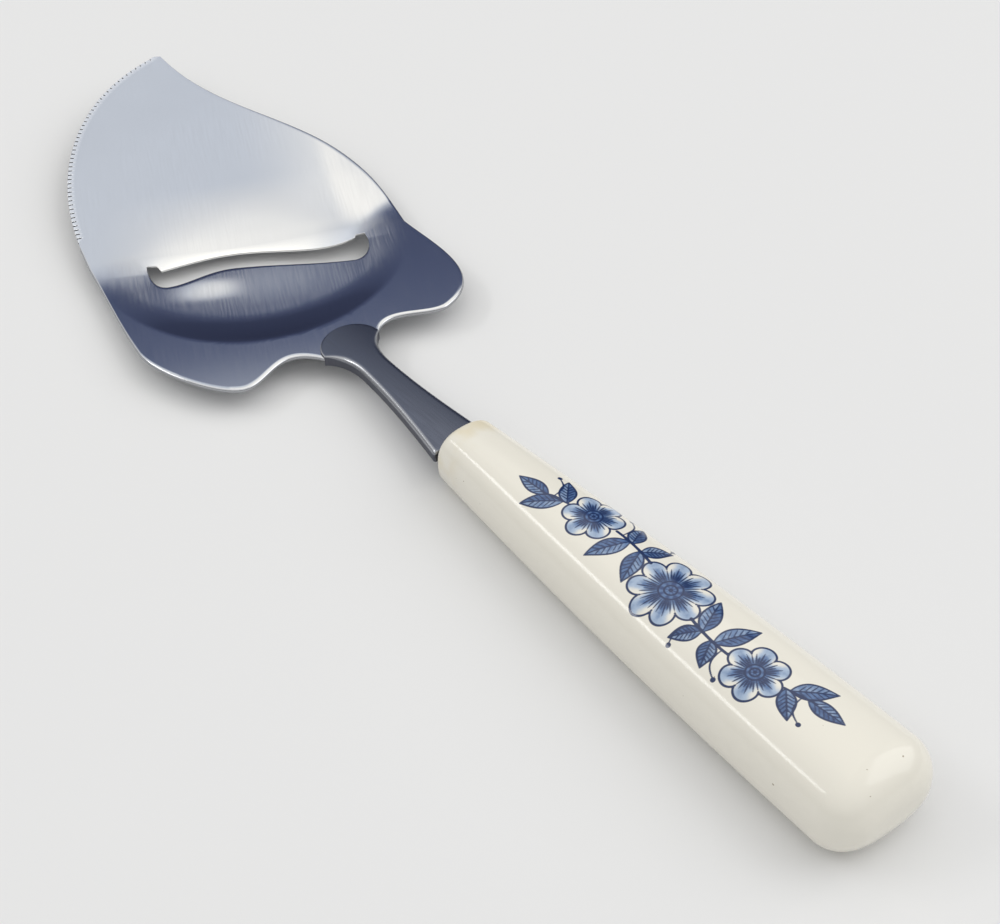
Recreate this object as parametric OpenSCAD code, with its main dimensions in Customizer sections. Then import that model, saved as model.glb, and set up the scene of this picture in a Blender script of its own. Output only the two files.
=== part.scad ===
// Cheese slicer: a spade-shaped steel head with a slanted slot and a serrated front edge,
// lapped and welded onto a flat steel shank, whose notched tang is cemented into a hollow
// porcelain handle. Millimetres.
// X runs from the butt of the handle to the tip of the head, Y to the left, Z up.
// The origin is on the resting flat, under the middle of the handle.

/* [Handle] */
// Length of the handle, from its butt to its mouth
handle_len = 109; // [95:1:125]
// Width of the handle at its mouth
mouth_w = 12.6; // [11.8:0.2:16]
// Thickness of the handle at its mouth
mouth_t = 12.3; // [10.5:0.1:14]
// Width of the handle at its butt
butt_w = 23.4; // [19:0.2:28]
// Thickness of the handle at its butt
butt_t = 16.4; // [14:0.2:20]
// Extra width of the handle halfway along it
belly_w = 2; // [0:0.2:4]
// Extra thickness of the handle halfway along it
belly_t = 1.2; // [0:0.2:2.4]
// Radius of the rounded butt
butt_round = 7; // [4:0.5:8]
// Radius of the rounded mouth
mouth_round = 1.2; // [0.6:0.1:1.6]
// Squareness of the handle's section, where 2 is an ellipse
squareness = 2.5; // [2.1:0.1:3.5]
// Depth of the flat that the handle rests on
flat_depth = 0.15; // [0.1:0.05:0.4]

/* [Tang and cement] */
// Width of the cavity for the tang
cavity_w = 8.4; // [7.4:0.2:9]
// Thickness of the cavity for the tang
cavity_t = 6; // [5:0.2:7]
// Depth of the cavity from the mouth
cavity_depth = 54; // [48:1:70]
// Corner radius of the cavity
cavity_round = 2; // [1:0.1:2.4]
// Length of the tang inside the handle
tang_len = 45; // [35:1:46]
// Width of the tang
tang_w = 6; // [5:0.1:6.8]
// Depth of each notch in the tang's sides
tang_notch = 1; // [0.5:0.1:1.5]
// Number of notches in each side of the tang
tang_notches = 3; // [1:1:4]
// How far the cement stops inside the mouth
cement_recess = 0.5; // [0.2:0.1:1.5]

/* [Shank] */
// Thickness of the shank and the tang
shank_t = 2.5; // [2:0.1:3]
// Gap between the shank's shoulders and the handle's mouth
shoulder_gap = 1.4; // [0.6:0.1:2]
// Width of the shank at its shoulders
shoulder_w = 11.2; // [9.6:0.2:12.4]
// Width of the shank at its neck
neck_w = 6.3; // [5:0.1:8]
// Distance from the mouth to the neck
neck_reach = 29.5; // [24:0.5:33]
// Distance from the mouth to the head's rear edge
shank_len = 38.2; // [36:0.2:48]
// Width of the shank where it meets the head
lap_w = 13; // [11:0.1:14]
// Length of the rounded end that laps over the head
lap_len = 5.7; // [4:0.1:7]
// Thickness of the rounded end that laps over the head
lap_t = 0.7; // [0.6:0.05:1]
// How far the shank leans to the right where it meets the head
lean = 1.6; // [0:0.1:2.4]
// Radius of the shank's crowned top
crown_r = 110; // [36:1:160]
// Leg of the weld under the lap joint
weld_leg = 0.8; // [0.4:0.1:0.9]
// Length of the weld under the lap joint
weld_len = 9; // [5:0.5:9.5]

/* [Head] */
// Thickness of the head's sheet
sheet_t = 0.9; // [0.7:0.05:1]
// Thickness of the ground lip and of the tooth tips
edge_t = 0.4; // [0.2:0.05:0.5]
// Distance from the head's rear edge to its tip
head_len = 113.2; // [106:0.2:122]
// Distance of the tip to the right of the centre line
tip_side = 24.2; // [22:0.2:27]
// How far the leaf reaches past the step on the right
leaf_past = 0.8; // [0:0.1:2.5]
// Distance from the head's rear edge to the leaf's widest place
leaf_reach = 48.9; // [46:0.1:52]
// Reach of the right ear
ear_right = 34.4; // [33:0.2:37]
// How far the left ear reaches past the step
ear_past = 4.2; // [2.6:0.1:6]
// Distance from the head's rear edge to the end of the teeth
teeth_reach = 65; // [63:0.2:69]
// Distance of the end of the teeth to the left of the centre line
teeth_side = 23.1; // [22:0.1:24]
// Number of teeth along the front edge
tooth_count = 48; // [30:1:56]
// Depth of the notches between the teeth
notch_depth = 1; // [0.6:0.1:1.3]
// Depth of the first notch beside the tip, as a share of the deepest one
first_notch = 0.6; // [0.4:0.05:1]
// Share of the pitch of the teeth that is flat tip
tip_share = 0.78; // [0.5:0.02:0.8]
// Slope of the leaf where it leaves the fold, upwards to its front, in degrees
leaf_rise = 3.6; // [2.6:0.1:5]
// How far the tip curls up over that slope
leaf_curl = 1.6; // [0:0.1:2.4]

/* [Dish and slot] */
// Distance from the head's rear edge to the middle of the dish
dish_reach = 41.8; // [39.8:0.2:44]
// Distance of the middle of the dish to the right of the centre line
dish_side = 5; // [3.5:0.5:6]
// Radius of the step round the dish
dish_r = 32.5; // [31:0.5:33.5]
// Width of the step round the dish
step_w = 10.5; // [8:0.5:12]
// Depth of the step round the dish
step_drop = 1.5; // [1.1:0.1:1.9]
// Slant of the slot, in degrees
slot_slant = 25; // [20:0.5:28]
// Length of the slot
slot_len = 46; // [40:0.2:48]
// How far the slot's ends reach back from the middle of the dish
slot_back = 9.2; // [8.4:0.1:10]
// How far the slot's rear edge bows forward in its middle
slot_bow = 3.7; // [2.4:0.1:4.2]
// How far the dish's floor rises towards the slot
slot_lift = 0.3; // [0:0.05:0.6]
// How far the slot's rear edge arches up beside its middle
slot_arch = 0.3; // [0:0.05:0.6]
// How far the lip dips in its middle
lip_dip = 0.4; // [0:0.05:0.6]
// Gap left between the dish and the surface that the slicer lies on
dish_gap = 1.75; // [1.1:0.05:2.3]

/* [Hidden] */

steel = [0.72, 0.74, 0.77];
dark_steel = [0.55, 0.57, 0.61];
porcelain = [0.95, 0.93, 0.88];
cement = [0.70, 0.68, 0.62];

// Heights in the blade's own frame, whose X runs along the shank from the mouth of the handle
sheet_top = shank_t / 2 - lap_t;
dish_low = sheet_top - step_drop - sheet_t;

// The blade slopes down from the middle of the mouth until its dish comes near the surface
mouth_z = mouth_t / 2 - flat_depth;
blade_slope = asin((mouth_z + dish_low - dish_gap) / (shank_len + dish_reach));

// Cubic curve through four control points, and a run of n points along it without its last
function cubic(p, t) = pow(1 - t, 3) * p[0] + 3 * pow(1 - t, 2) * t * p[1]
    + 3 * (1 - t) * t * t * p[2] + pow(t, 3) * p[3];
function run(p, n) = [for (k = [0 : n - 1]) cubic(p, k / n)];
function straight(a, b, n) = [for (k = [0 : n - 1]) a + (b - a) * k / n];
function polyline(pts) = [for (k = [0 : len(pts) - 2]) each straight(pts[k], pts[k + 1], 2)];
function ease(t) = let (c = min(1, max(0, t))) c * c * (3 - 2 * c);
function mirrored(pts) = [for (k = [len(pts) - 1 : -1 : 0]) [pts[k][0], -pts[k][1]]];

// Head: plan
// Slot coordinates: u runs along the slot to the left, v across it to the front
function from_slot(p) = [
    dish_reach + p[0] * sin(slot_slant) + p[1] * cos(slot_slant),
    -dish_side + p[0] * cos(slot_slant) - p[1] * sin(slot_slant)
];
function to_slot(p) = let (dx = p[0] - dish_reach, dy = p[1] + dish_side) [
    dx * sin(slot_slant) + dy * cos(slot_slant),
    dx * cos(slot_slant) - dy * sin(slot_slant)
];
function placed(pts) = [for (p = pts) from_slot(p)];

// Corners of the outline: the fold ends at the step on the right, and just past it on the left
fold_left_past = 1.3;
fold_right = from_slot([-dish_r, 0]);
fold_left = from_slot([dish_r + fold_left_past, 0]);
leaf_side = dish_r + dish_side + leaf_past;
ear_left = dish_r - dish_side + ear_past;
tip = [head_len, -tip_side];
tip_corner = tip + [-0.8, -1.3];
teeth_end = [teeth_reach, teeth_side];
leaf_wide = [leaf_reach, -leaf_side];
ear_right_rear = [-1.9, 11 - ear_right];
ear_left_rear = [2, ear_left - 10.9];
ear_left_wide = [25.6, ear_left];
neck_right = [0, -lap_w / 2 - lean];
neck_left = [0, lap_w / 2 - lean];

// Curves of the outline: each has a start, two pulls and an end
right_ear_curve = [fold_right, fold_right + [-10.4, 0.4], [1.1, -ear_right - 2.9], ear_right_rear];
right_hollow_curve = [ear_right_rear, ear_right_rear + [-1, 5.4], neck_right + [5.3, -11.9], neck_right];
left_hollow_curve = [neck_left, neck_left + [7.5, 1.5], ear_left_rear + [-1.3, -2], ear_left_rear];
left_ear_curve = [ear_left_rear, ear_left_rear + [-0.2, 5.1], ear_left_wide + [-6.2, 1.5], ear_left_wide];
left_side_curve = [ear_left_wide, ear_left_wide + [10, -1.4], fold_left + [-10.2, 1.8], fold_left];
front_curve = [tip, tip + [-3.1, 24.9], teeth_end + [22.5, -6.6], teeth_end];
leaf_rear_curve = [fold_right, fold_right + [7, -1.9], leaf_wide + [-7.2, 0.2], leaf_wide];
leaf_front_curve = [leaf_wide, leaf_wide + [25.4, -0.6], tip_corner + [-27, 1.2], tip_corner];
leaf_left_curve = [fold_left, fold_left + [3, -0.8], teeth_end + [-2.9, 1.1], teeth_end];

// Outline: edges of the ears, from fold to fold round the rear
rear_edge = concat(
    run(right_ear_curve, 28),
    run(right_hollow_curve, 14),
    straight(neck_right, neck_left, 8),
    run(left_hollow_curve, 14),
    run(left_ear_curve, 18),
    run(left_side_curve, 14),
    [fold_left]
);
columns = len(rear_edge) - 1;

// Outline: the serrated front edge, from the tip to the end of the teeth
function front_edge(t) = cubic(front_curve, t);
function inward(t) = let (d = front_edge(min(1, t + 0.005)) - front_edge(max(0, t - 0.005)))
    [-d[1], d[0]] / norm(d);
// The roots of the teeth run inside the front edge, from the tip's corner to the end of the teeth
root_margin = 0.6;
tooth_root = notch_depth + root_margin;
function root_edge(t) = t == 0 ? tip_corner
    : front_edge(t) + inward(t) * tooth_root * min(1, (1 - t) * tooth_count);
// Outline: the leaf's right edge by way of its widest place, and its left edge
wide_share = 0.4;
function right_edge(t) = t < wide_share
    ? cubic(leaf_rear_curve, t / wide_share)
    : cubic(leaf_front_curve, (t - wide_share) / (1 - wide_share));
function left_edge(t) = cubic(leaf_left_curve, t);

// Slot: its rear edge, and the lip with a square notch at each end, all in slot coordinates
slot_aside = 0.85;
slot_right = -slot_len / 2 - slot_aside;
slot_left = slot_len / 2 - slot_aside;
notch_front = -1.9;
notch_right_w = 2.5;
notch_left_w = 2.8;
lip_right = [slot_right + notch_right_w, -2.7];
lip_left = [slot_left - notch_left_w, -3.5];
lip_mid = [-5.7, -1.8];
slot_end_right = [slot_right, -4];
slot_end_left = [slot_left, -3];
slot_crown = [4.6, slot_bow - slot_back];
back_right = [slot_right + 4.4, -slot_back - 1];
back_left = [slot_left - 3.4, -slot_back];
slot_rear = placed(concat(
    run([slot_end_right, [slot_right, 0.6 - slot_back], back_right - [2.4, 0.5], back_right], 8),
    run([back_right, back_right + [8.6, 1.3], slot_crown - [7.5, 0], slot_crown], 28),
    run([slot_crown, slot_crown + [5.5, 0], back_left - [4.5, 0.1], back_left], 26),
    run([back_left, back_left + [2.5, 0.3], [slot_left - 0.2, 4 - slot_back], slot_end_left], 8)
));
notch_steps = 6;
right_notch_front = [[slot_right + 0.3, notch_front], [lip_right[0] - 0.3, notch_front]];
left_notch_front = [[lip_left[0] + 0.8, notch_front + 0.2], [slot_left, notch_front + 0.4]];
lip = placed(concat(
    polyline([slot_end_right, each right_notch_front, lip_right]),
    run([lip_right, lip_right + [5, -2.4], lip_mid + [-5.1, -1.1], lip_mid], 28),
    run([lip_mid, lip_mid + [10.5, 2.4], lip_left + [-9.8, 2.9], lip_left], 30),
    polyline([lip_left, each left_notch_front, slot_end_left])
));

// Head: height of the sheet's top over the plane of the ears
// The step is narrower at its ends, and has a sharp outer edge
end_share = 0.57;
function band_inner(u, rho) = dish_r - step_w + end_share * step_w * pow(u / max(rho, 0.001), 2);
function ear_share(u, v) = let (rho = norm([u, min(v, 0)]), inner = band_inner(u, rho))
    pow(min(1, max(0, (rho - inner) / (dish_r - inner))), 2);
// The dish is shallow at its ends, and the leaf climbs out of it towards the front
end_past = 1;
climb_back = 4;
climb_run = 26;
function climb(v) = pow(max(0, 1 - max(0, v + climb_back) / climb_run), 2);
function depth(u, v) = (1 - ear_share(u, v)) * (1 - ease(abs(u) / (dish_r + end_past))) * climb(v);
// The leaf starts to rise along a rounded fold, which bends forward beside the slot's right end
fold_round = 4;
fold_lag = 9;
lag_start = slot_len / 2;
lag_run = dish_r - lag_start;
function past_fold(u, v) = v - fold_lag * ease((-u - lag_start) / lag_run);
function rise(f) = f > fold_round ? f : pow(max(0, f + fold_round), 2) / (4 * fold_round);
// It curls up to its tip
tip_reach = to_slot(tip)[1];
function pressed(u, v, dent) = let (r = rise(past_fold(u, v)))
    tan(leaf_rise) * r + leaf_curl * pow(r / tip_reach, 2) + depth(u, v) * (dent - step_drop);
function hump(u, middle, length) = pow(max(0, 1 - pow(2 * (u - middle) / length, 2)), 2);
// Behind the slot the floor rises, and arches up to the slot's rear edge
slot_middle = (slot_left + slot_right) / 2;
lift_end = 0.4;
function plateau(u) = ease((1 - abs(2 * (u - slot_middle) / slot_len)) / lift_end);
lift_run = 20;
arch_middle = 13;
arch_len = 24;
arch_back = 16;
arch_run = 8;
function dish_height(p) = let (q = to_slot(p)) pressed(q[0], q[1],
    slot_lift * plateau(q[0]) * ease((q[1] + lift_run) / lift_run)
    + slot_arch * hump(q[0], arch_middle, arch_len) * ease((q[1] + arch_back) / arch_run));
// In front of the slot the lip dips
lip_run = 10;
function leaf_height(p) = let (q = to_slot(p), dip = lip_dip * hump(q[0], slot_middle, slot_len))
    pressed(q[0], q[1], -dip * (1 - ease((q[1] + climb_back) / lip_run)));

// Head: mesh
// Columns run from the right fold to the left fold, rows from the rear edge to the teeth
slot_first = 10;
slot_last = slot_first + len(lip);
rear_rows = 14;
leaf_rows = 9;
function slot_row(edge) = concat(
    straight(fold_right, edge[0], slot_first),
    edge,
    straight(from_slot(slot_end_left), fold_left, columns - slot_last),
    [fold_left]
);
lip_row = slot_row(lip);
dish_row = slot_row(slot_rear);
// Row that the leaf starts from, which runs in front of the lip and spreads the columns at its notches
spread = 3.2;
fold_right_end = [-dish_r, 0];
fold_left_end = [dish_r + fold_left_past, 0];
guide_front = notch_front + 3.2;
function guide(u) = [u, guide_front];
function guide_notch(a, b) = polyline([
    guide(a - spread), guide(a - spread / 3), guide(b + spread / 3), guide(b + spread)
]);
guide_row = placed(concat(
    straight(fold_right_end, guide(slot_right - spread), slot_first),
    guide_notch(slot_right, lip_right[0]),
    straight(guide(lip_right[0] + spread), guide(lip_left[0] - spread), len(lip) - 2 * notch_steps),
    guide_notch(lip_left[0], slot_left),
    straight(guide(slot_left + spread), fold_left_end, columns - slot_last),
    [fold_left_end]
));
function on_dish(p) = [p[0], p[1], dish_height(p)];
function on_leaf(p) = [p[0], p[1], leaf_height(p)];
function dish_point(i, j) = on_dish(rear_edge[i] + (dish_row[i] - rear_edge[i]) * j / rear_rows);
// The leaf is stretched between its four edges
function leaf_plan(s, w, start) = (1 - w) * start + w * root_edge(s)
    + (1 - s) * right_edge(w) + s * left_edge(w)
    - (1 - s) * (1 - w) * fold_right - s * (1 - w) * fold_left
    - (1 - s) * w * root_edge(0) - s * w * teeth_end;
// Its rows are closer together near the slot
row_power = 1.4;
function leaf_point(i, j) =
    on_leaf(j == 0 ? lip_row[i] : leaf_plan(i / columns, pow(j / leaf_rows, row_power), guide_row[i]));
// A tooth has a flat tip and a narrow notch beside it, which the last tooth all but lacks
last_notch = 0.1;
function notch_share(k, t) = k < tooth_count - 1 ? first_notch + (1 - first_notch) * t : last_notch;
function notch_at(k) = let (t = (k + (1 + tip_share) / 2) / tooth_count)
    front_edge(t) + inward(t) * notch_depth * notch_share(k, t);
function tooth(k) = [
    on_leaf(front_edge(k / tooth_count)),
    on_leaf(front_edge((k + tip_share) / tooth_count)),
    on_leaf(notch_at(k))
];
notch_t = edge_t + (sheet_t - edge_t) * notch_depth / tooth_root;
function in_slot(i) = i > slot_first && i < slot_last;
head_top = concat(
    [for (j = [0 : rear_rows - 1], i = [1 : columns - 1]) dish_point(i, j)],
    [for (i = [slot_first + 1 : slot_last - 1]) dish_point(i, rear_rows)],
    [for (j = [0 : leaf_rows], i = [0 : columns]) leaf_point(i, j)],
    [for (k = [0 : tooth_count - 1]) each tooth(k)]
);
head_t = concat(
    [for (j = [0 : rear_rows - 1], i = [1 : columns - 1]) sheet_t],
    [for (i = [slot_first + 1 : slot_last - 1]) sheet_t],
    [for (j = [0 : leaf_rows], i = [0 : columns]) j == 0 && in_slot(i) ? edge_t : sheet_t],
    [for (k = [0 : tooth_count - 1]) each [edge_t, edge_t, notch_t]]
);
head_size = len(head_top);
head_bottom = [for (k = [0 : head_size - 1]) head_top[k] - [0, 0, head_t[k]]];

// Places of the points in the list
slot_start = rear_rows * (columns - 1);
leaf_start = slot_start + slot_last - slot_first - 1;
teeth_start = leaf_start + (leaf_rows + 1) * (columns + 1);
function leaf_id(i, j) = leaf_start + j * (columns + 1) + i;
function tooth_id(k, m) = k < tooth_count ? teeth_start + 3 * k + m : leaf_id(columns, leaf_rows);
function dish_id(i, j) =
    i == 0 || i == columns ? leaf_id(i, 0)
    : j < rear_rows ? j * (columns - 1) + i - 1
    : in_slot(i) ? slot_start + i - slot_first - 1
    : leaf_id(i, 0);
// First column of a tooth, and the column under its tip's end
function tooth_column(k) = round(k * columns / tooth_count);
function tip_column(k) = floor((tooth_column(k) + tooth_column(k + 1)) / 2);

dish_faces = [
    for (i = [0 : columns - 1], j = [0 : rear_rows - 1])
    let (a = dish_id(i, j), b = dish_id(i + 1, j), c = dish_id(i + 1, j + 1), d = dish_id(i, j + 1))
    each (a == d ? [[a, b, c]] : b == c ? [[a, b, d]] : [[a, b, c], [a, c, d]])
];
leaf_faces = [
    for (i = [0 : columns - 1], j = [0 : leaf_rows - 1])
    let (a = leaf_id(i, j), b = leaf_id(i + 1, j), c = leaf_id(i + 1, j + 1), d = leaf_id(i, j + 1))
    each [[a, b, c], [a, c, d]]
];
function root_id(i) = leaf_id(i, leaf_rows);
tooth_faces = [
    for (k = [0 : tooth_count - 1])
    let (first = tooth_column(k), mid = tip_column(k), last = tooth_column(k + 1))
    each concat(
        [for (i = [first : 1 : mid - 1]) [root_id(i), root_id(i + 1), tooth_id(k, 0)]],
        [[tooth_id(k, 0), root_id(mid), tooth_id(k, 1)]],
        [[tooth_id(k, 1), root_id(mid), tooth_id(k, 2)]],
        [for (i = [mid : 1 : last - 1]) [root_id(i), root_id(i + 1), tooth_id(k, 2)]],
        k < tooth_count - 1 ? [[tooth_id(k, 2), root_id(last), tooth_id(k + 1, 0)]] : []
    )
];
upper_faces = concat(dish_faces, leaf_faces, tooth_faces);
lower_faces = [for (f = upper_faces) [f[0] + head_size, f[2] + head_size, f[1] + head_size]];
// Edges of the sheet, each with the steel on its right when seen from above
rim = concat(
    [for (i = [0 : columns - 1]) [dish_id(i, 0), dish_id(i + 1, 0)]],
    [for (j = [0 : leaf_rows - 1]) each [
        [leaf_id(columns, j), leaf_id(columns, j + 1)],
        [leaf_id(0, j + 1), leaf_id(0, j)]
    ]],
    [for (i = [slot_first : slot_last - 1]) each [
        [dish_id(i + 1, rear_rows), dish_id(i, rear_rows)],
        [leaf_id(i, 0), leaf_id(i + 1, 0)]
    ]],
    [for (k = [0 : tooth_count - 1]) each [
        [tooth_id(k + 1, 0), tooth_id(k, 2)],
        [tooth_id(k, 2), tooth_id(k, 1)],
        [tooth_id(k, 1), tooth_id(k, 0)]
    ]],
    [[tooth_id(0, 0), leaf_id(0, leaf_rows)]]
);
rim_faces = [
    for (e = rim)
    each [[e[1], e[0], e[0] + head_size], [e[1], e[0] + head_size, e[1] + head_size]]
];

// Shank: half of its plan, from the tail of the tang to the end of the lap
function tang_notch_at(k) = -tang_len * (k + 0.6) / (tang_notches + 0.4);
notch_half = 1.5;
half_shank = concat(
    [[-tang_len, tang_w / 2 - tang_notch]],
    [[tang_notch - tang_len, tang_w / 2]],
    [for (k = [tang_notches - 1 : -1 : 0]) each [
        [tang_notch_at(k) - notch_half, tang_w / 2],
        [tang_notch_at(k), tang_w / 2 - tang_notch],
        [tang_notch_at(k) + notch_half, tang_w / 2]
    ]],
    [[shoulder_gap, tang_w / 2]],
    run([
        [shoulder_gap, shoulder_w / 2],
        [neck_reach / 3, shoulder_w / 2 - 1.1],
        [neck_reach * 2 / 3, neck_w / 2 + 0.1],
        [neck_reach, neck_w / 2]
    ], 10),
    run([
        [neck_reach, neck_w / 2],
        [neck_reach + 4.2, neck_w / 2],
        [shank_len - 1.6, lap_w / 2 - 2],
        [shank_len, lap_w / 2]
    ], 10),
    [for (k = [0 : 11]) [shank_len + lap_len * sin(k * 7.5), lap_w / 2 * cos(k * 7.5)]],
    [[shank_len + lap_len, 0]]
);
// The shank leans to the right from the mouth on
function leaning(pts) = [for (p = pts) p - [0, lean * max(0, p[0]) / shank_len]];

// Handle: half sizes and middle height of its section at a distance from the mouth
function handle_half_w(d) = let (s = d / handle_len)
    (mouth_w + (butt_w - mouth_w) * s + 4 * belly_w * s * (1 - s)) / 2;
function handle_half_t(d) = let (s = d / handle_len)
    (mouth_t + (butt_t - mouth_t) * s + 4 * belly_t * s * (1 - s)) / 2;
function handle_mid(d) = (mouth_t + (butt_t - mouth_t) * d / handle_len) / 2 - flat_depth;
function bulged(c) = sign(c) * pow(abs(c), 2 / squareness);
ring_points = 44;
// Each ring is a distance from the mouth and an inset that rounds the ends
rings = concat(
    [for (k = [0 : 3]) [mouth_round * (1 - cos(22.5 * k)), mouth_round * (1 - sin(22.5 * k))]],
    [for (k = [0 : 13]) [mouth_round + (handle_len - butt_round - mouth_round) * k / 14, 0]],
    [for (k = [0 : 8]) [
        handle_len - butt_round + butt_round * sin(11.25 * k),
        butt_round * (1 - cos(11.25 * k))
    ]]
);
last_ring = len(rings) - 1;
function ring_point(r, k) = let (
    d = r[0],
    a = 360 * k / ring_points,
    y = (handle_half_w(d) - r[1]) * bulged(cos(a)),
    z = handle_mid(d) + (handle_half_t(d) - r[1]) * bulged(sin(a))
) [handle_len / 2 - d, y, max(0, z)];
function ring_middle(r) = [handle_len / 2 - r[0], 0, handle_mid(r[0])];
handle_skin = concat(
    [for (r = rings, k = [0 : ring_points - 1]) ring_point(r, k)],
    [ring_middle(rings[0]), ring_middle(rings[last_ring])]
);
function ring_id(j, k) = j * ring_points + k % ring_points;
mouth_id = len(rings) * ring_points;
butt_id = mouth_id + 1;
handle_faces = concat(
    [for (j = [0 : last_ring - 1], k = [0 : ring_points - 1]) each [
        [ring_id(j, k), ring_id(j + 1, k), ring_id(j + 1, k + 1)],
        [ring_id(j, k), ring_id(j + 1, k + 1), ring_id(j, k + 1)]
    ]],
    [for (k = [0 : ring_points - 1]) [mouth_id, ring_id(0, k), ring_id(0, k + 1)]],
    [for (k = [0 : ring_points - 1]) [butt_id, ring_id(last_ring, k + 1), ring_id(last_ring, k)]]
);

// Puts a piece of the blade into the mouth of the handle, sloping down to the front
module in_handle() {
    translate([handle_len / 2, 0, mouth_z])
        rotate([0, blade_slope, 0])
            children();
}

// Flat bar with a crowned top, thinned to a lap at its front end
module shank_bar() {
    difference() {
        intersection() {
            linear_extrude(shank_t, center = true)
                polygon(leaning(concat(half_shank, mirrored(half_shank))));
            rotate([0, 0, -atan(lean / shank_len)])
                translate([-tang_len - 1, 0, shank_t / 2 - crown_r])
                    rotate([0, 90, 0])
                        cylinder(r = crown_r, h = tang_len + shank_len + lap_len + 4, $fn = 480);
        }
        translate([shank_len, -lap_w - lean, sheet_top - shank_t])
            cube([lap_len + 1, 2 * lap_w, shank_t]);
    }
}

// Rounded bar that fills the cavity from its bottom to a given distance from the mouth
module cavity_fill(front) {
    translate([-cavity_depth, 0, 0])
        rotate([90, 0, 90])
            linear_extrude(cavity_depth + front) {
                square([cavity_w - 2 * cavity_round, cavity_t], center = true);
                square([cavity_w, cavity_t - 2 * cavity_round], center = true);
                for (sy = [-1, 1], sz = [-1, 1])
                    translate([sy * (cavity_w / 2 - cavity_round), sz * (cavity_t / 2 - cavity_round)])
                        circle(r = cavity_round, $fn = 48);
            }
}

// Thin sheet with ears, a dish behind the slot, and a leaf with a serrated front edge
module slicing_head() {
    color(steel)
        in_handle()
            translate([shank_len, 0, sheet_top])
                polyhedron(
                    points = concat(head_top, head_bottom),
                    faces = concat(upper_faces, lower_faces, rim_faces),
                    convexity = 8
                );
}

// Flat shank with its notched tang and its lap
module shank() {
    color(dark_steel)
        in_handle()
            shank_bar();
}

// Quarter-round weld in the corner under the lap joint
module weld_bead() {
    color(dark_steel)
        in_handle()
            translate([shank_len, -lean, sheet_top - sheet_t])
                intersection() {
                    rotate([90, 0, 0])
                        cylinder(r = weld_leg, h = weld_len, center = true, $fn = 48);
                    translate([0, -weld_len / 2, -weld_leg])
                        cube([weld_leg, weld_len, weld_leg]);
                }
}

// Porcelain handle with a flat underside, hollow from its mouth
module handle() {
    color(porcelain)
        difference() {
            polyhedron(points = handle_skin, faces = handle_faces, convexity = 4);
            in_handle()
                cavity_fill(2);
        }
}

// Cement that holds the tang in the cavity
module tang_cement() {
    color(cement)
        in_handle()
            difference() {
                cavity_fill(-cement_recess);
                shank_bar();
            }
}

slicing_head();
shank();
weld_bead();
handle();
tang_cement();
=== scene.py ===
"""Looks of a cheese slicer: pressed steel head, steel shank and a glazed porcelain handle.

Lengths are in millimetres until a mesh is made. The main sizes are the same as in the CAD source.
"""

import math

import bpy
import numpy as np
from mathutils import Matrix, Vector


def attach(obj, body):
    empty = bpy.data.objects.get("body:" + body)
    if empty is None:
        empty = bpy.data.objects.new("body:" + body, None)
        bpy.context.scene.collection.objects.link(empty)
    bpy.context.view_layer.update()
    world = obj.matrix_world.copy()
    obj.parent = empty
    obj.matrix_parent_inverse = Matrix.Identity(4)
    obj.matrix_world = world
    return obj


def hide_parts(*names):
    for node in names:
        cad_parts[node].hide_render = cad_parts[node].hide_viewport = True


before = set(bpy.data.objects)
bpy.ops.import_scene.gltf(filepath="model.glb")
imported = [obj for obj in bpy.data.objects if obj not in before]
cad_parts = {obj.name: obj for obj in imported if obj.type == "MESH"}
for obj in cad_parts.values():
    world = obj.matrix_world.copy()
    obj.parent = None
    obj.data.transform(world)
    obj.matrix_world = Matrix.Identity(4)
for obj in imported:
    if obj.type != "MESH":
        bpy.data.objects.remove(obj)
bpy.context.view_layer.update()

METRES = 0.001

# Handle
HANDLE_LEN = 109.0
MOUTH_W, MOUTH_T = 12.6, 12.3
BUTT_W, BUTT_T = 23.4, 16.4
BELLY_W, BELLY_T = 2.0, 1.2
BUTT_ROUND, MOUTH_ROUND = 7.0, 1.2
SQUARENESS = 2.5
FLAT_DEPTH = 0.15
CAVITY_W, CAVITY_T, CAVITY_DEPTH, CAVITY_ROUND = 8.4, 6.0, 54.0, 2.0

# Tang and shank
TANG_LEN, TANG_W, TANG_NOTCH, TANG_NOTCHES = 45.0, 6.0, 1.0, 3
SHANK_T = 2.5
SHOULDER_GAP, SHOULDER_W = 1.4, 11.2
NECK_W, NECK_REACH = 6.3, 29.5
SHANK_LEN = 38.2
LAP_W, LAP_LEN, LAP_T = 13.0, 5.7, 0.7
LEAN = 1.6
CROWN_R = 110.0

# Head
SHEET_T, EDGE_T = 0.9, 0.4
HEAD_LEN, TIP_SIDE = 113.2, 24.2
LEAF_PAST, LEAF_REACH = 0.8, 48.9
EAR_RIGHT, EAR_PAST = 34.4, 4.2
TEETH_REACH, TEETH_SIDE = 65.0, 23.1
TOOTH_COUNT, NOTCH_DEPTH, FIRST_NOTCH, TIP_SHARE = 48, 1.0, 0.6, 0.78
LEAF_RISE, LEAF_CURL = math.radians(3.6), 1.6

# Dish and slot
DISH_REACH, DISH_SIDE, DISH_R = 41.8, 5.0, 32.5
STEP_W, STEP_DROP = 10.5, 1.5
SLOT_SLANT = math.radians(25)
SLOT_LEN, SLOT_BACK, SLOT_BOW = 46.0, 9.2, 3.7
SLOT_LIFT, SLOT_ARCH, LIP_DIP, DISH_GAP = 0.3, 0.3, 0.4, 1.75

# Heights in the blade's own frame, and the slope of that frame out of the handle
SHEET_TOP = SHANK_T / 2 - LAP_T
DISH_LOW = SHEET_TOP - STEP_DROP - SHEET_T
MOUTH_Z = MOUTH_T / 2 - FLAT_DEPTH
BLADE_SLOPE = math.asin((MOUTH_Z + DISH_LOW - DISH_GAP) / (SHANK_LEN + DISH_REACH))


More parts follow.
